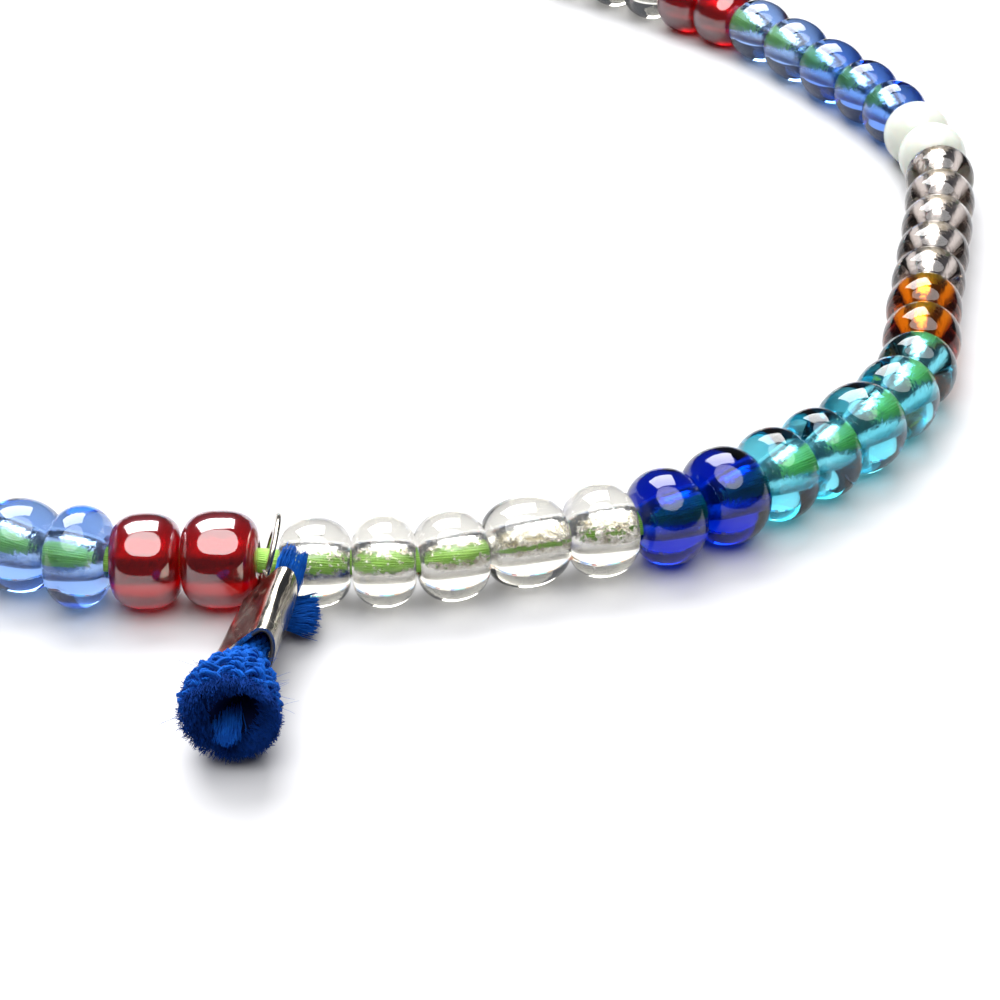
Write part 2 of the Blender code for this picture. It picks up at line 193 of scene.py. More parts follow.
def glass(name, seen_through, depth_mm, lustre=0.0, haze=0.012, painted_glow_tint="#ffffff"):
    """Drawn soda-lime glass, coloured by what its depth takes out of the light. The outside is smooth and
    slightly wavy, and the bore and the ends round it are frosted. A lustre is a thin, sharp, faintly pink
    mirror over it, and what shows through it is hazy. Its specular reflection takes the painted glow tint:
    on the ruby a deep red, a painted glow that stands in for red light through the glass."""
    made, tree = new_material(name)
    place = add_node(tree, "ShaderNodeTexCoord")
    frosted = add_node(tree, "ShaderNodeAttribute", {"attribute_name": "frosted"})
    waves = add_node(
        tree, "ShaderNodeTexNoise", Vector=place.outputs["Object"], Scale=700.0, Detail=1.0
    )
    grain = add_node(
        tree, "ShaderNodeTexNoise", Vector=place.outputs["Object"], Scale=4500.0, Detail=3.0
    )
    grinding = add_node(
        tree, "ShaderNodeMath", {"operation": "MULTIPLY"}, i0=grain.outputs[0], i1=frosted.outputs["Fac"]
    )
    wavy = add_node(
        tree, "ShaderNodeBump", Strength=0.16, Distance=0.00006, Height=waves.outputs[0]
    )
    ground = add_node(
        tree, "ShaderNodeBump", Strength=0.6, Distance=0.00005, Height=grinding.outputs[0],
        Normal=wavy.outputs[0],
    )
    rough = add_node(
        tree, "ShaderNodeMapRange", Value=frosted.outputs["Fac"], To_Min=haze, To_Max=haze + 0.21
    )
    # Painted glow: the specular reflection is tinted with the painted glow colour.
    shader = add_node(
        tree, "ShaderNodeBsdfPrincipled", Base_Color=(1, 1, 1, 1), Roughness=rough.outputs[0],
        IOR=GLASS_IOR, Transmission_Weight=1.0, Normal=ground.outputs[0], Coat_Weight=lustre,
        Coat_Roughness=0.045, Coat_IOR=2.0, Coat_Tint=linear("#ffe6fa"), Specular_Tint=linear(painted_glow_tint),
    )
    through = linear(seen_through)
    taken = [-math.log(max(c, LEAST_SHARE)) / (depth_mm * MM) for c in through[:3]]
    density = max(taken) * 1.02 + 1.0  # above all three, as the node's colour is what each one leaves of it
    volume = add_node(
        tree, "ShaderNodeVolumeAbsorption", Color=(*[1 - t / density for t in taken], 1), Density=density
    )
    add_node(
        tree, "ShaderNodeOutputMaterial", Surface=shader.outputs[0], Volume=volume.outputs[0]
    )
    return made


def opaque_glass():
    """Opal white glass with a green cast: dense and milky, its gloss broken by slight waves."""
    made, tree = new_material("opal_white_glass")
    place = add_node(tree, "ShaderNodeTexCoord")
    cloud = add_node(tree, "ShaderNodeTexNoise", Vector=place.outputs["Object"], Scale=500.0, Detail=2.0)
    tone = add_node(
        tree, "ShaderNodeMix", {"data_type": "RGBA"}, Factor=cloud.outputs[0], i6=linear("#b9c0b5"),
        i7=linear("#cfd2c8"),
    )
    bump = add_node(tree, "ShaderNodeBump", Strength=0.2, Distance=0.00005, Height=cloud.outputs[0])
    shader = add_node(
        tree, "ShaderNodeBsdfPrincipled", Base_Color=tone.outputs[2], Roughness=0.16, IOR=GLASS_IOR,
        Normal=bump.outputs[0], Subsurface_Weight=0.3, Subsurface_Scale=0.001,
    )
    add_node(tree, "ShaderNodeOutputMaterial", Surface=shader.outputs[0])
    return made


def silver_lining(name, roughness):
    """Silvering inside a bore: a crinkled bright film that has flaked off in jagged patches. The mesh's
    kept attribute says how much is left."""
    made, tree = new_material(name)
    place = add_node(tree, "ShaderNodeTexCoord")
    kept = add_node(tree, "ShaderNodeAttribute", {"attribute_name": "kept"})
    patches = add_node(
        tree, "ShaderNodeTexNoise", Vector=place.outputs["Object"], Scale=4600.0, Detail=6.0,
        Roughness=0.8,
    )
    crinkle = add_node(
        tree, "ShaderNodeTexNoise", Vector=place.outputs["Object"], Scale=3600.0, Detail=5.0,
        Roughness=0.7,
    )
    both = add_node(
        tree, "ShaderNodeMath", {"operation": "ADD"}, i0=patches.outputs[0], i1=kept.outputs["Fac"]
    )
    left = add_node(tree, "ShaderNodeMapRange", Value=both.outputs[0], From_Min=0.5, From_Max=0.52)
    flakes = add_node(tree, "ShaderNodeMapRange", Value=crinkle.outputs[0], From_Min=0.4, From_Max=0.6)
    tone = add_node(
        tree, "ShaderNodeMix", {"data_type": "RGBA"}, Factor=flakes.outputs[0], i6=linear("#a89f80"),
        i7=linear("#fffdf6"),
    )
    bump = add_node(tree, "ShaderNodeBump", Strength=1.0, Distance=0.00022, Height=crinkle.outputs[0])
    shader = add_node(
        tree, "ShaderNodeBsdfPrincipled", Base_Color=tone.outputs[2], Roughness=roughness, Metallic=1.0,
        Normal=bump.outputs[0], Alpha=left.outputs[0],
    )
    add_node(tree, "ShaderNodeOutputMaterial", Surface=shader.outputs[0])
    return made


def nylon_cord():
    """Twisted nylon cord in bright lime: soft fibres with a sheen and streaks of lighter and darker tone,
    and a faint lime emission as a painted glow.
    """
    made, tree = new_material("lime_nylon_cord")
    place = add_node(tree, "ShaderNodeTexCoord")
    streaks = add_node(
        tree, "ShaderNodeTexNoise", Vector=place.outputs["Object"], Scale=1800.0, Detail=4.0,
        Roughness=0.7,
    )
    tone = add_node(
        tree, "ShaderNodeMix", {"data_type": "RGBA"}, Factor=streaks.outputs[0], i6=linear("#68ac22"),
        i7=linear("#bcec70"),
    )
    bump = add_node(tree, "ShaderNodeBump", Strength=0.5, Distance=0.00004, Height=streaks.outputs[0])
    # Painted light: a faint lime emission makes the cord glow.
    shader = add_node(
        tree, "ShaderNodeBsdfPrincipled", Base_Color=tone.outputs[2], Roughness=0.6, Sheen_Weight=0.3,
        Normal=bump.outputs[0], Emission_Color=linear("#8ee03a"), Emission_Strength=0.04,
    )
    add_node(tree, "ShaderNodeOutputMaterial", Surface=shader.outputs[0])
    return made


def plated_sheet():
    """Stamped steel sheet, nickel plated: a warm grey mirror with drawing lines and dull handling marks. It
    is painted near black and dull on the upper wing's inner side, as painted shade where the wing hides the
    yarn."""
    made, tree = new_material("nickel_plated_steel")
    place = add_node(tree, "ShaderNodeTexCoord")
    along = add_node(
        tree, "ShaderNodeMapping", Vector=place.outputs["Object"], Rotation=(0, 0, CRIMP_YAW),
        Scale=(6000, 260, 6000),
    )
    lines = add_node(tree, "ShaderNodeTexNoise", Vector=along.outputs[0], Scale=1.0, Detail=3.0)
    smudges = add_node(
        tree, "ShaderNodeTexNoise", Vector=place.outputs["Object"], Scale=1100.0, Detail=4.0
    )
    tone = add_node(
        tree, "ShaderNodeMix", {"data_type": "RGBA"}, Factor=smudges.outputs[0], i6=linear("#9c9487"),
        i7=linear("#d8d2c6"),
    )
    rough = add_node(
        tree, "ShaderNodeMapRange", Value=smudges.outputs[0], From_Min=0.35, From_Max=0.7, To_Min=0.13,
        To_Max=0.32,
    )
    # Painted shade: near black and dull on the upper wing's inner side, where it hides the yarn.
    glued = add_node(tree, "ShaderNodeAttribute", {"attribute_name": "glued"})
    colour = add_node(
        tree, "ShaderNodeMix", {"data_type": "RGBA"}, Factor=glued.outputs["Fac"], i6=tone.outputs[2],
        i7=linear("#17130f"),
    )
    dulled = add_node(
        tree, "ShaderNodeMath", {"operation": "MAXIMUM"}, i0=rough.outputs[0], i1=glued.outputs["Fac"]
    )
    bump = add_node(tree, "ShaderNodeBump", Strength=0.22, Distance=0.00003, Height=lines.outputs[0])
    shader = add_node(
        tree, "ShaderNodeBsdfPrincipled", Base_Color=colour.outputs[2], Roughness=dulled.outputs[0],
        Metallic=1.0, Normal=bump.outputs[0],
    )
    add_node(tree, "ShaderNodeOutputMaterial", Surface=shader.outputs[0])
    return made


def dyed_yarn(name, dark, light):
    """Dyed acrylic yarn: matte fibres with a soft sheen, darker where the dye has taken more."""
    made, tree = new_material(name)
    place = add_node(tree, "ShaderNodeTexCoord")
    dye = add_node(
        tree, "ShaderNodeTexNoise", Vector=place.outputs["Object"], Scale=2400.0, Detail=3.0
    )
    tone = add_node(
        tree, "ShaderNodeMix", {"data_type": "RGBA"}, Factor=dye.outputs[0], i6=linear(dark),
        i7=linear(light),
    )
    bump = add_node(tree, "ShaderNodeBump", Strength=0.4, Distance=0.00003, Height=dye.outputs[0])
    shader = add_node(
        tree, "ShaderNodeBsdfPrincipled", Base_Color=tone.outputs[2], Roughness=0.8,
        Specular_IOR_Level=0.12, Sheen_Weight=0.12, Sheen_Tint=linear("#2f7dff"), Normal=bump.outputs[0],
    )
    add_node(tree, "ShaderNodeOutputMaterial", Surface=shader.outputs[0])
    return made


def sweep_paper():
    """White paper sweep under the anklet, faintly mottled."""
    made, tree = new_material("white_paper_sweep")
    place = add_node(tree, "ShaderNodeTexCoord")
    mottle = add_node(tree, "ShaderNodeTexNoise", Vector=place.outputs["Object"], Scale=60.0, Detail=2.0)
    tone = add_node(
        tree, "ShaderNodeMix", {"data_type": "RGBA"}, Factor=mottle.outputs[0], i6=linear("#b0b0b2"),
        i7=linear("#b6b6b8"),
    )
    shader = add_node(
        tree, "ShaderNodeBsdfPrincipled", Base_Color=tone.outputs[2], Roughness=0.7
    )
    add_node(tree, "ShaderNodeOutputMaterial", Surface=shader.outputs[0])
    return made


GLASS = {
    "sky": glass("light_blue_glass", "#8fb2ea", 3.2),
    # Painted glow: the ruby's specular reflection is tinted deep red.
    "ruby": glass("ruby_lustre_glass", "#ac0308", 2.8, lustre=1.0, haze=0.28, painted_glow_tint="#6e0010"),
    "clear": glass("colourless_glass", "#f4f2ea", 3.2),
    "cobalt": glass("cobalt_glass", "#003cc0", 2.5),
    "aqua": glass("teal_glass", "#74d6e6", 3.0),
    "amber": glass("amber_glass", "#d8800c", 2.2),
    "smoke": glass("smoky_glass", "#d2c6be", 3.0),
    "white": opaque_glass(),
}
DEEPER_SKY = glass("mid_blue_glass", "#6494ea", 3.2)
LINING = {
    "clear": silver_lining("flaked_silver_film", 0.17),
    "smoke": silver_lining("dull_silver_film", 0.4),
}
CORD_LOOK = nylon_cord()
SHEET_LOOK = plated_sheet()
YARN_LOOK = dyed_yarn("blue_acrylic_yarn", "#022868", "#0a60c6")
# Lit and shaded copies of one yarn: the bell's darker copy is painted shade, the tuft's lighter copy is
# painted light.
YARN_SHADED = dyed_yarn("shaded_blue_yarn", "#01174a", "#06409a")
YARN_PAINTED_LIGHT = dyed_yarn("painted_light_blue_yarn", "#04348a", "#1468cc")
# A near-black copy of the yarn, painted shade for the cup in the yarn's core and hollow.
YARN_HEART = dyed_yarn("shaded_yarn_heart", "#020a26", "#04154a")


def deselect():
    if bpy.context.object and bpy.context.object.mode != "OBJECT":
        bpy.ops.object.mode_set(mode="OBJECT")
    bpy.ops.object.select_all(action="DESELECT")


def smooth_loop(points):
    """A closed smooth curve through the points, as a fine list of positions."""
    fine = []
    count = len(points)
    for i in range(count):
        before, start, end, after = (Vector(points[(i + k) % count]) for k in (-1, 0, 1, 2))
        for step in range(LOOP_STEPS):
            t = step / LOOP_STEPS
            fine.append(
                0.5 * (2 * start + (end - before) * t + (2 * before - 5 * start + 4 * end - after) * t**2
                       + (3 * start - before - 3 * end + after) * t**3)
            )
    return fine


class Route:
    """The string's closed route, in millimetres."""

    def __init__(self, points, length, fixed_share):
        self.points = smooth_loop(points)
        self.measure()
        natural = self.stops[-1]
        fixed = self.at(fixed_share * natural)[0]
        self.points = [fixed.xy + (p - fixed.xy) * (length / natural) for p in self.points]
        self.measure()

    def measure(self):
        self.stops = [0.0]
        for i, point in enumerate(self.points):
            following = self.points[(i + 1) % len(self.points)]
            self.stops.append(self.stops[-1] + (following - point).length)

    def at(self, along):
        along %= self.stops[-1]
        low, high = 0, len(self.points)
        while high - low > 1:
            middle = (low + high) // 2
            low, high = (middle, high) if self.stops[middle] <= along else (low, middle)
        start, end = self.points[low], self.points[(low + 1) % len(self.points)]
        share = (along - self.stops[low]) / (self.stops[low + 1] - self.stops[low])
        return start.lerp(end, share).to_3d(), (end - start).normalized().to_3d()

    def chord(self, along, reach):
        return (self.at(along + reach)[0] - self.at(along - reach)[0]).normalized()


def string_layout():
    """Every bead as (glass, radius, length of string, place along the route), and the cord end's place and
    the whole string's length."""
    hidden = [(look, HIDDEN_SIZE, HIDDEN_LENGTH) for look, count in HIDDEN_RUNS for _ in range(count)]
    order = list(reversed(BEFORE_EYE)) + [None] + list(AFTER_EYE) + hidden
    beads = []
    along = -order[0][2] * BEAD_PITCH / 2
    eye = 0.0
    for entry in order:
        if entry is None:
            eye = along + EYE_SPACE / 2
            along += EYE_SPACE
            continue
        look, size, length = entry
        space = length * BEAD_PITCH
        beads.append((look, size * BEAD_DIAMETER / 2, space, along + space / 2))
        along += space
    return beads, eye, along + order[0][2] * BEAD_PITCH / 2


BEADS, EYE_PLACE, STRING_LENGTH = string_layout()
STRING = Route(ROUTE, STRING_LENGTH, EYE_PLACE / STRING_LENGTH)
VISIBLE = len(BEFORE_EYE) + len(AFTER_EYE)
LOW, HIGH = (Vector(corner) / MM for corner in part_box("bead_01"))
SHIFT = ((LOW + HIGH) / 2 - STRING.at(BEADS[0][3])[0]) * Vector((1, 1, 0))


def place_on_string(along, height):
    """A place over the string's route, in the part's own millimetres."""
    return STRING.at(along)[0] + SHIFT + Vector((0, 0, height))


def turned_ring(name, profile, bevels, steps):
    """A ring turned round the X axis from a rectangle: half length, inner and outer radius. Each bevel is
    (outer edge or not, offset, segments, profile)."""
    half, inner, outer = profile
    deselect()
    bpy.ops.mesh.primitive_plane_add(size=1, rotation=(math.pi / 2, 0, 0))
    ring = bpy.context.object
    ring.name = name
    bpy.ops.object.transform_apply(location=True, rotation=True, scale=True)
    for vert in ring.data.vertices:
        side = 1 if vert.co.x > 0 else -1
        vert.co = (side * half, 0, outer if vert.co.z > 0 else inner)
    bpy.ops.object.mode_set(mode="EDIT")
    for at_rim, offset, segments, roundness in bevels:
        bpy.ops.mesh.select_all(action="DESELECT")
        bpy.ops.object.mode_set(mode="OBJECT")
        for vert in ring.data.vertices:
            vert.select = abs(vert.co.z - (outer if at_rim else inner)) < 0.0001
        bpy.ops.object.mode_set(mode="EDIT")
        bpy.ops.mesh.bevel(offset=offset, segments=segments, profile=roundness, affect="VERTICES")
    bpy.ops.mesh.select_all(action="SELECT")
    bpy.ops.mesh.delete(type="ONLY_FACE")
    bpy.ops.mesh.select_all(action="SELECT")
    bpy.ops.mesh.spin(steps=steps, angle=2 * math.pi, center=(0, 0, 0), axis=(1, 0, 0))
    bpy.ops.mesh.select_all(action="SELECT")
    bpy.ops.mesh.remove_doubles(threshold=0.0005)
    bpy.ops.mesh.normals_make_consistent(inside=False)
    bpy.ops.object.mode_set(mode="OBJECT")
    return ring


def bead_blank(name, steps, corner_steps, roundness):
    """A bead of half length 1 and radius 1 on the X axis. Its bore and the rim of that at each end are
    marked as frosted."""
    half = 0.62
    bevels = ((True, 0.6, corner_steps, roundness), (False, 0.035, 2, 0.5))
    blank = turned_ring(name, (half, BORE_SHARE, 1.0), bevels, steps)
    blank.data.transform(Matrix.Diagonal((1 / half, 1, 1, 1)))
    frosted = blank.data.attributes.new("frosted", "FLOAT", "POINT")
    for vert, value in zip(blank.data.vertices, frosted.data):
        out = math.hypot(vert.co.y, vert.co.z)
        value.value = 1.0 if out < BORE_SHARE + 0.05 else 0.0
    bpy.ops.object.shade_smooth()
    return blank


def bead_matrix(centre, direction, half_length, radius):
    """Puts a blank of half length 1 and radius 1 on the string, and brings it to metres."""
    side = UP.cross(direction).normalized()
    up = direction.cross(side)
    turned = Matrix((direction, side, up)).transposed().to_4x4()
    sized = Matrix.Diagonal((half_length, radius, radius, 1))
    return Matrix.Translation(centre * MM) @ turned @ sized @ Matrix.Diagonal((MM, MM, MM, 1))


def finished(piece, name, look, slot, *nodes):
    """Names a piece, gives it its material, hangs it under the root body, and hides the model's parts that
    it replaces.
    """
    piece.name = name
    piece.data.name = name
    piece.data.materials.clear()
    piece.data.materials.append(look)
    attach(piece, "root")
    if nodes:
        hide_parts(*nodes)


def new_object(name, data):
    made = bpy.data.objects.new(name, data)
    bpy.context.scene.collection.objects.link(made)
    return made


SLOT = {look: f"{look}_glass" for look in GLASS}


def gas_bubbles(number, centre, direction, radius, half_length):
    """Small bubbles that the drawing left inside the glass: turned inside out, as they hold air."""
    chance = random.Random(number)
    made = []
    for _ in range(chance.choice((1, 2, 3))):
        angle = chance.uniform(0, 2 * math.pi)
        out = chance.uniform(0.55, 0.86) * radius
        side = UP.cross(direction).normalized()
        offset = side * math.cos(angle) * out + UP * math.sin(angle) * out
        place = centre + offset + direction * chance.uniform(-0.5, 0.5) * half_length
        deselect()
        bpy.ops.mesh.primitive_uv_sphere_add(
            segments=10, ring_count=7, radius=chance.uniform(0.03, 0.07) * MM, location=place * MM
        )
        bpy.ops.object.transform_apply(location=True, rotation=True, scale=True)
        bpy.ops.object.shade_smooth()
        bpy.ops.object.mode_set(mode="EDIT")
        bpy.ops.mesh.select_all(action="SELECT")
        bpy.ops.mesh.flip_normals()
        bpy.ops.object.mode_set(mode="OBJECT")
        made.append(bpy.context.object)
    return made


def join(target, others):
    """Makes the others part of the target."""
    deselect()
    for other in [target] + others:
        other.select_set(True)
    bpy.context.view_layer.objects.active = target
    bpy.ops.object.join()


def make_beads():
    """The beads in view, one piece each, and the hidden ones, one piece for each run of a colour."""
    blanks = {
        "round": bead_blank("round_bead_blank", 64, 12, 0.5),
        "square": bead_blank("barrel_bead_blank", 64, 12, 0.56),
        "hidden": bead_blank("hidden_bead_blank", 32, 6, 0.5),
    }
    hidden = []
    for number, (look, radius, space, along) in enumerate(BEADS, start=1):
        centre = place_on_string(along, radius)
        direction = STRING.chord(along, space / 2)
        half_length = (space - TOUCH_GAP) / 2
        shape = "hidden" if number > VISIBLE else "square" if look == "ruby" else "round"
        mesh = blanks[shape].data.copy()
        mesh.transform(bead_matrix(centre, direction, half_length, radius))
        if number <= VISIBLE:
            name = f"glass_bead_{number:02d}"
            bead = new_object(name, mesh)
            if number <= BUBBLED_BEADS:
                join(bead, gas_bubbles(number, centre, direction, radius, half_length))
            body = DEEPER_SKY if number in DEEPER_BEADS else GLASS[look]
            finished(bead, name, body, SLOT[look], f"bead_{number:02d}")
        else:
            hidden.append(mesh)
    position = 0
    for index, (look, count) in enumerate(HIDDEN_RUNS, start=1):
        parts = [new_object("run_bead", mesh) for mesh in hidden[position:position + count]]
        position += count
        join(parts[0], parts[1:])
        finished(parts[0], f"hidden_{look}_run_{index:02d}", GLASS[look], SLOT[look], "hidden_string")
    for blank in blanks.values():
        bpy.data.objects.remove(blank)


def film(blank, number, radius, space, along):
    """One bead's film, whose kept attribute dips in the worn strip."""
    low, high, middle, half_width = FILM_WEAR.get(number, FILM_USUAL)
    mesh = blank.data.copy()
    kept = mesh.attributes.new("kept", "FLOAT", "POINT")
    for vert, value in zip(mesh.vertices, kept.data):
        away = abs(math.degrees(math.atan2(vert.co.z, -vert.co.y)) - middle)
        share = min(min(away, 360 - away) / half_width, 1.0)
        value.value = low + (high - low) * share**2 * (3 - 2 * share)
    centre = place_on_string(along, radius)
    direction = STRING.chord(along, space / 2)
    mesh.transform(bead_matrix(centre, direction, (space - TOUCH_GAP) / 2, radius))
    return new_object("film", mesh)


def make_linings():
    """A silvered film in the bore of each clear and smoky bead, flaked off more in some than in others."""
    deselect()
    bpy.ops.mesh.primitive_cylinder_add(
        vertices=72, radius=BORE_SHARE - 0.012, depth=1.9, end_fill_type="NOTHING",
        rotation=(0, math.pi / 2, 0),
    )
    blank = bpy.context.object
    bpy.ops.object.transform_apply(location=True, rotation=True, scale=True)
    bpy.ops.object.shade_smooth()
    hidden = []
    for number, (look, radius, space, along) in enumerate(BEADS, start=1):
        if look not in ("clear", "smoke"):
            continue
        made = film(blank, number, radius, space, along)
        if number > VISIBLE:
            hidden.append(made)
        else:
            finished(made, f"silver_film_{number:02d}", LINING[look], SLOT[look])
    join(hidden[0], hidden[1:])
    finished(hidden[0], "silver_films_hidden", LINING["clear"], SLOT["clear"])
    bpy.data.objects.remove(blank)


def cord_stops():
    """Each bead's place along the string and its middle's height, with one more at each end to close it."""
    stops = sorted((along % STRING_LENGTH, radius) for _, radius, _, along in BEADS)
    before = (stops[-1][0] - STRING_LENGTH, stops[-1][1])
    after = (stops[0][0] + STRING_LENGTH, stops[0][1])
    return [before] + stops + [after]


CORD_STOPS = cord_stops()


def cord_height(along):
    """The height of the stringing cord's middle, which goes through each bead's middle."""
    index = next(i for i, (stop, _) in enumerate(CORD_STOPS) if stop >= along)
    (start, low), (end, high) = CORD_STOPS[index - 1:index + 1]
    share = (along - start) / (end - start)
    return low + (high - low) * (3 * share**2 - 2 * share**3)


def strands(name, paths, thickness):
    """Many fibres as one mesh. Each comes as a path, a list of (place in millimetres, share of the
    thickness), and whether that path is closed."""
    curve = bpy.data.curves.new(name, "CURVE")
    curve.dimensions = "3D"
    curve.bevel_depth = thickness / 2 * MM
    curve.bevel_resolution = 0
    for path, closed in paths:
        spline = curve.splines.new("POLY")
        spline.points.add(len(path) - 1)
        for point, (place, share) in zip(spline.points, path):
            point.co = (*(place * MM), 1)
            point.radius = share
        spline.use_cyclic_u = closed
    made = new_object(name, curve)
    deselect()
    made.select_set(True)
    bpy.context.view_layer.objects.active = made
    bpy.ops.object.convert(target="MESH")
    bpy.ops.object.shade_smooth()
    return bpy.context.object


def make_stringing_cord():
    """Soft nylon strands laid nearly straight, with a slight twist, through every bore."""
    paths = []
    for strand in range(CORD_STRANDS):
        path = []
        for i in range(CORD_STEPS):
            along = STRING_LENGTH * i / CORD_STEPS
            side = UP.cross(STRING.at(along)[1])
            angle = 2 * math.pi * (CORD_TURNS * i / CORD_STEPS + strand / CORD_STRANDS)
            wander = 1 + 0.12 * noise.noise(Vector((along * 1.4, strand * 7.0, 0)))
            out = CORD_DIAMETER * 0.43 * wander
            offset = (side * math.cos(angle) + UP * math.sin(angle)) * out
            path.append((place_on_string(along, cord_height(along)) + offset, 1.0))
        paths.append((path, True))
    cord = strands("lime_cord", paths, CORD_DIAMETER * 0.13)
    finished(cord, "lime_stringing_cord", CORD_LOOK, "lime_cord", "stringing_cord")


EYE = STRING.at(EYE_PLACE)[0] + SHIFT + Vector((0, 0, EYE_HEIGHT))
AHEAD = Vector((-math.sin(CRIMP_YAW), -math.cos(CRIMP_YAW), 0))
RIGHT = Vector((math.cos(CRIMP_YAW), -math.sin(CRIMP_YAW), 0))
MOUTH = EYE + AHEAD * (CRIMP_START + CRIMP_LENGTH) + RIGHT * 1.2 - UP * 0.34


def from_eye(ahead, right, up):
    """A place by its millimetres from the eye's middle, along the cord end's own directions."""
    return EYE + AHEAD * ahead + RIGHT * right + UP * up


def folded_strip(name, columns, rows, place):
    """A sheet of metal: a grid whose corners are put where place(across, along) says, then thickened."""
    deselect()
    bpy.ops.mesh.primitive_grid_add(x_subdivisions=columns, y_subdivisions=rows, size=1)
    sheet = bpy.context.object
    sheet.name = name
    for vert in sheet.data.vertices:
        vert.co = place(vert.co.x + 0.5, vert.co.y + 0.5) * MM
    for kind, settings in (
        ("SUBSURF", {"levels": 2, "render_levels": 2}),
        ("SOLIDIFY", {"thickness": SHEET * MM, "offset": 0, "use_even_offset": True}),
        ("BEVEL", {"width": 0.085 * MM, "segments": 4, "limit_method": "ANGLE"}),
    ):
        modifier = sheet.modifiers.new(kind.lower(), kind)
        for key, value in settings.items():
            setattr(modifier, key, value)
        bpy.ops.object.modifier_apply(modifier=modifier.name)
    bpy.ops.object.shade_smooth_by_angle(angle=math.radians(35))
    return sheet


def fold_point(across, along):
    """From the lower wing's tip across to the upper wing's, and from the crimp's back end to its front."""
    back, front, up = FOLD[round(across * (len(FOLD) - 1))]
    dent = 0.05 * noise.noise(Vector((across * 5, along * 3.5, 2.0)))
    right = back + (front - back) * along
    return from_eye(CRIMP_START + along * CRIMP_LENGTH, right + dent, up + dent)


def neck_point(across, along):
    """From the ring's rim, edge up, twisting into the plate's slope."""
    edge_up, sloping = math.radians(92), math.radians(50)
    turn = edge_up + (sloping - edge_up) * along
    half = 0.36 + 0.48 * along**2
    reach = (across - 0.5) * 2 * half
    middle = Vector((0.3 + 0.12 * along**1.5, 0.04 - 0.08 * along))
    start = 0.8 * EYE_RADIUS
    return from_eye(
        start + along * (CRIMP_START + 0.3 - start),
        middle.x + reach * math.cos(turn), middle.y + reach * math.sin(turn),
    )


def make_cord_end():
    """The fold-over cord end: eye ring, twisted neck, mirror plate and the wings folded over the yarn."""
    ring = turned_ring(
        "eye_ring", (0.11, EYE_HOLE_RADIUS, EYE_RADIUS), ((True, 0.09, 4, 0.5), (False, 0.08, 3, 0.5)), 56
    )
    lean = Matrix.Rotation(EYE_LEAN, 3, TOWARDS)
    direction = lean @ STRING.chord(EYE_PLACE, 1.0)
    turned = Matrix((direction, TOWARDS, lean @ UP)).transposed().to_4x4()
    ring.data.transform(Matrix.Diagonal((MM, MM, MM, 1)) @ Matrix.Translation(EYE) @ turned)
    bpy.ops.object.shade_smooth_by_angle(angle=math.radians(40))
    neck = folded_strip("neck", 3, 6, neck_point)
    crimp = folded_strip("crimp", len(FOLD) - 1, 10, fold_point)
    # Painted shade: marks the upper wing's inner side, facing the yarn, to be coloured near black and dull.
    glued = crimp.data.attributes.new("glued", "FLOAT", "POINT")
    for vert, value in zip(crimp.data.vertices, glued.data):
        place = vert.co / MM - EYE
        ahead, right = place.dot(AHEAD), place.dot(RIGHT)
        spread = 0.3 * ((ahead - CRIMP_START) / CRIMP_LENGTH)
        inward = from_eye(ahead, 1.25 + spread, 0.2) - vert.co / MM
        under_wing = right > 0.95 + spread and vert.normal.dot(inward) > 0
        value.value = 1.0 if under_wing else 0.0
    join(crimp, [ring, neck])
    finished(crimp, "folded_cord_end", SHEET_LOOK, "bright_nickel", "cord_end")


def tail_profile(ahead):
    """Radius, place to the right and rise of the yarn's middle at a distance in front of the crimp."""
    for start, end in zip(TAIL_PROFILE, TAIL_PROFILE[1:]):
        if ahead <= end[0]:
            share = max(0.0, (ahead - start[0]) / (end[0] - start[0]))
            return [low + (high - low) * share for low, high in zip(start[1:], end[1:])]
    return TAIL_PROFILE[-1][1:]


def on_tail(ahead, angle, share):
    """A place on the yarn in front of the crimp: a share of its radius out, at an angle from its right."""
    radius, aside, rise = tail_profile(ahead)
    way = AHEAD if ahead < 0 else TOWARDS
    middle = MOUTH + way * ahead + Vector((aside, 0, rise))
    out = radius * share
    return middle + Vector((math.cos(angle) * out, 0, math.sin(angle) * out))


def braid_paths():
    """A tubular braid: plies that pass over and under each other both ways round, of twisted fibres."""
    paths = []
    for ply in range(2 * BRAID_PLIES):
        way = 1 if ply % 2 else -1
        for fibre in range(BRAID_FIBRES):
            chance = random.Random(ply * 100 + fibre)
            path = []
            for i in range(BRAID_STEPS):
                ahead = BRAID_START + (BRAID_END - BRAID_START) * i / (BRAID_STEPS - 1)
                lay = (ahead - BRAID_START) * BRAID_LAY
                slack = noise.noise(Vector((ahead * 1.7, ply * 3.1, 0)))
                over = way * 0.14 * math.cos(lay * BRAID_PLIES) - 0.16 + 0.2 * slack
                twist = ahead * 7.0 + 2 * math.pi * fibre / BRAID_FIBRES
                turn = way * lay + 2 * math.pi * (ply // 2) / BRAID_PLIES + 0.22 * slack
                place = on_tail(ahead, turn, 1 + over / tail_profile(ahead)[0])
                place += Vector((math.cos(twist), 0, math.sin(twist))) * PLY_RADIUS
                place += Vector([chance.uniform(-0.02, 0.02) for _ in range(3)])
                place.z = max(place.z, 0.2)
                path.append((place, 1.0))
            paths.append((path, False))
    return paths


def bell_fibre(chance, angle, share, start, end, drawn):
    """One frayed fibre from the braid out to the bell's face, its tip drawn aside and up."""
    drift = chance.uniform(-0.22, 0.22)
    path = []
    for i in range(5):
        along = i / 4
        place = on_tail(start + (end - start) * along, angle + drift * along, share * (0.9 + 0.1 * along))
        place += Vector((drawn[0], 0, drawn[1])) * along
        place += Vector([chance.uniform(-0.045, 0.045) for _ in range(3)])
        place.z = max(place.z, 0.1)
        path.append((place, 1.0 - 0.6 * along**2))
    return path, False


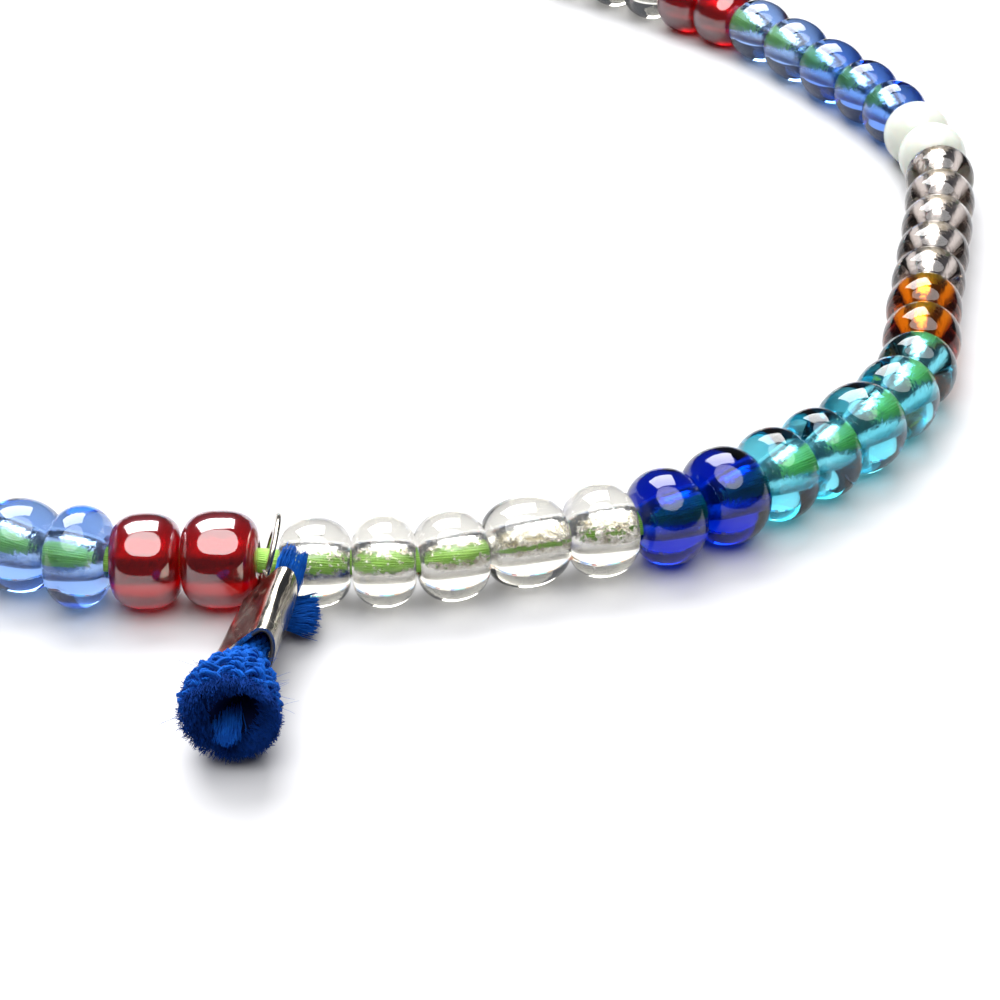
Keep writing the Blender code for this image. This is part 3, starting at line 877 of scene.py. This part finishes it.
def bell_paths():
    """Frayed fibres that open out of the braid into the bell's soft rim, and the fuzz on it."""
    paths = []
    chance = random.Random(31)
    for _ in range(BELL_FIBRES):
        share = chance.triangular(0.57, 1.0, 0.9)
        swell = math.sqrt(max(0.0, 1 - ((share - 0.78) / 0.3) ** 2))
        end = BELL_RIM + 0.62 * swell + chance.uniform(-0.3, 0.05)
        drawn = [shift * (1 - share) for shift in HOLLOW_PLACE]
        angle = chance.uniform(0, 2 * math.pi)
        paths.append(bell_fibre(chance, angle, share, chance.uniform(3.0, 3.9), end, drawn))
    for _ in range(FUZZ_HAIRS):
        angle = chance.uniform(0, 2 * math.pi)
        start = chance.triangular(2.2, 4.6, 4.3)
        root = on_tail(start, angle, 0.96)
        out = (on_tail(start, angle, 1.5) - root).normalized()
        lean = Vector([chance.uniform(*span) for span in ((-0.7, 0.7), (-1.1, 0.1), (-0.7, 0.7))])
        tip = root + (out + lean).normalized() * chance.uniform(0.08, 0.26)
        paths.append(([(root, 0.7), (root.lerp(tip, 0.5) + out * 0.03, 0.5), (tip, 0.25)], False))
    return paths


def tuft_paths():
    """The short tuft that stands in the bell's hollow."""
    paths = []
    chance = random.Random(32)
    for _ in range(TUFT_FIBRES):
        across, height = chance.gauss(-0.1, 0.2), chance.gauss(-0.62, 0.15)
        angle, share = math.atan2(height, across), math.hypot(across, height) / BELL_RADIUS
        end = 5.2 - 1.8 * (across + 0.1) ** 2 - 2.4 * (height + 0.62) ** 2 + chance.uniform(-0.3, 0.05)
        paths.append(bell_fibre(chance, angle, share, 2.9, end, (0.0, 0.05)))
    return paths


def stray_paths():
    """Single long hairs that stand away from the yarn."""
    paths = []
    chance = random.Random(77)
    for _ in range(STRAY_HAIRS):
        angle = chance.choice((0.0, math.pi)) + chance.uniform(-0.9, 0.9)
        root = on_tail(chance.uniform(0.6, 4.2), angle, 0.95)
        way = Vector((math.cos(angle), chance.uniform(-0.7, 0.5), math.sin(angle))).normalized()
        curl = Vector([chance.uniform(-1, 1) for _ in range(3)]) * 0.6
        length = chance.uniform(0.4, 1.3)
        path = []
        for i in range(8):
            share = i / 7
            place = root + way * length * share + curl * share**2 * length * 0.5
            place.z = max(place.z, 0.12)
            path.append((place, 1.0 - 0.6 * share))
        paths.append((path, False))
    return paths


def heart_point(across, along):
    """A near-black closed cup of painted shade inside the yarn: along its outside to the rim, then back
    down its hollow.
    """
    outside = 0.75
    angle = 2 * math.pi * across
    if along < outside:
        ahead = -2.8 + (BELL_RIM + 2.6) * along / outside
        return on_tail(ahead, angle, 1 - 0.27 / tail_profile(ahead)[0])
    back = (along - outside) / (1 - outside)
    place = on_tail(BELL_RIM - 0.2 - HOLLOW_DEPTH * back, angle, 0.58 * (1 - back) + 0.01)
    return place + Vector((HOLLOW_PLACE[0], 0, HOLLOW_PLACE[1])) * 0.42


def make_yarn_tail():
    """The yarn in front of the cord end: braid, bell and tuft in darker and lighter copies of the yarn as
    painted shade and painted light, stray hairs, and a near-black cup of painted shade at the core.
    """
    braid = strands("yarn_braid", braid_paths(), BRAID_THICKNESS)
    finished(braid, "blue_yarn_braid", YARN_LOOK, "blue_yarn", "yarn_tail")
    bell = strands("yarn_bell", bell_paths(), BELL_THICKNESS)
    finished(bell, "blue_yarn_bell", YARN_SHADED, "blue_yarn", "yarn_tail")
    tuft = strands("yarn_tuft", tuft_paths(), BELL_THICKNESS)
    finished(tuft, "blue_yarn_tuft", YARN_PAINTED_LIGHT, "blue_yarn", "yarn_tail")
    hairs = strands("yarn_hairs", stray_paths(), STRAY_THICKNESS)
    finished(hairs, "blue_yarn_stray_hairs", YARN_LOOK, "blue_yarn")
    deselect()
    bpy.ops.mesh.primitive_grid_add(x_subdivisions=40, y_subdivisions=40, size=1)
    heart = bpy.context.object
    for vert in heart.data.vertices:
        vert.co = heart_point(vert.co.x + 0.5, vert.co.y + 0.5) * MM
    bpy.ops.object.mode_set(mode="EDIT")
    bpy.ops.mesh.select_all(action="SELECT")
    bpy.ops.mesh.remove_doubles(threshold=0.000001)
    bpy.ops.mesh.select_all(action="SELECT")
    bpy.ops.mesh.normals_make_consistent(inside=False)
    bpy.ops.object.mode_set(mode="OBJECT")
    bpy.ops.object.shade_smooth()
    finished(heart, "yarn_heart", YARN_HEART, "blue_yarn", "yarn_tail")


def make_yarn_brush():
    """The yarn's other end: strands over the crimp's back edge, and their short cut brush on the floor."""
    chance = random.Random(5)
    paths = []
    for _ in range(BRUSH_STRANDS):
        across = chance.uniform(-0.3, 1.2)
        depth = chance.uniform(-0.25, 0.08)
        short = chance.uniform(0, 0.36)
        notch = 0.16 * max(0.0, 1 - abs(across - 0.5) / 0.25)
        path = []
        for i, (left, right) in enumerate(zip(*FAN_EDGES)):
            ahead, aside, up = Vector(left).lerp(Vector(right), across)
            tip = (short + notch) * max(0, i - 3) / 2
            place = from_eye(ahead + 0.4 * tip, aside, up + depth - tip)
            place += Vector([chance.uniform(-0.05, 0.05) for _ in range(3)])
            path.append((place, 1.0 - 0.12 * i))
        paths.append((path, False))
    for _ in range(BRUSH_FIBRES):
        side = chance.uniform(-0.95, 0.85)
        height = chance.triangular(-0.8, 0.75, 0.1)
        start = from_eye(2.15, 0.75, -1.35) + Vector((0, -0.75 * side, 0.35 * height))
        length = 1.75 + chance.uniform(-0.4, 0.22) - 0.25 * abs(side)
        lean = Vector((
            1, chance.uniform(-0.2, 0.2) - 0.15 * side, 0.28 * height + chance.uniform(-0.14, 0.14)
        ))
        path = []
        for i in range(5):
            share = i / 4
            loose = Vector([chance.uniform(-0.04, 0.04) for _ in range(3)])
            place = start + lean * length * share + loose
            place.z = max(place.z, 0.08)
            path.append((place, 1.0 - 0.5 * share**2))
        paths.append((path, False))
    brush = strands("yarn_brush_fibres", paths, BRUSH_THICKNESS)
    finished(brush, "blue_yarn_brush", YARN_LOOK, "blue_yarn", "yarn_brush")


def make_stage():
    """The paper under the anklet, the dim room and the two lights."""
    deselect()
    bpy.ops.mesh.primitive_plane_add(size=3)
    floor = bpy.context.object
    floor.name = "white_floor"
    floor.data.materials.append(sweep_paper())
    world = bpy.data.worlds.new("studio")
    bpy.context.scene.world = world
    world.use_nodes = True
    world.node_tree.nodes["Background"].inputs[0].default_value = linear("#dfe8ff")
    world.node_tree.nodes["Background"].inputs[1].default_value = WORLD_STRENGTH
    for name, shape, place, size, look_at, strength in LAMPS:
        lamp = bpy.data.lights.new(name, "AREA")
        lamp.shape = shape
        lamp.size, lamp.size_y = size
        lamp.energy = strength * math.pi * size[0] * size[1]
        made = new_object(name, lamp)
        made.location = place
        made.rotation_euler = (Vector(look_at) - Vector(place)).to_track_quat("-Z", "Y").to_euler()


def make_camera():
    """The photograph's own view, worked out from how the beads shrink along the string."""
    camera = bpy.data.cameras.new("camera")
    camera.sensor_width = SENSOR_WIDTH
    camera.lens = FOCAL_PIXELS * SENSOR_WIDTH / FRAME_PIXELS
    camera.clip_start = 0.001
    made = new_object("camera", camera)
    made.location = (Vector(CAMERA_PLACE) + SHIFT) * MM
    made.rotation_euler = (math.radians(90 - CAMERA_PITCH), 0, 0)
    bpy.context.scene.camera = made
    bpy.context.scene.view_settings.view_transform = "Standard"


make_camera()
make_stage()
make_beads()
make_linings()
make_stringing_cord()
make_cord_end()
make_yarn_tail()
make_yarn_brush()
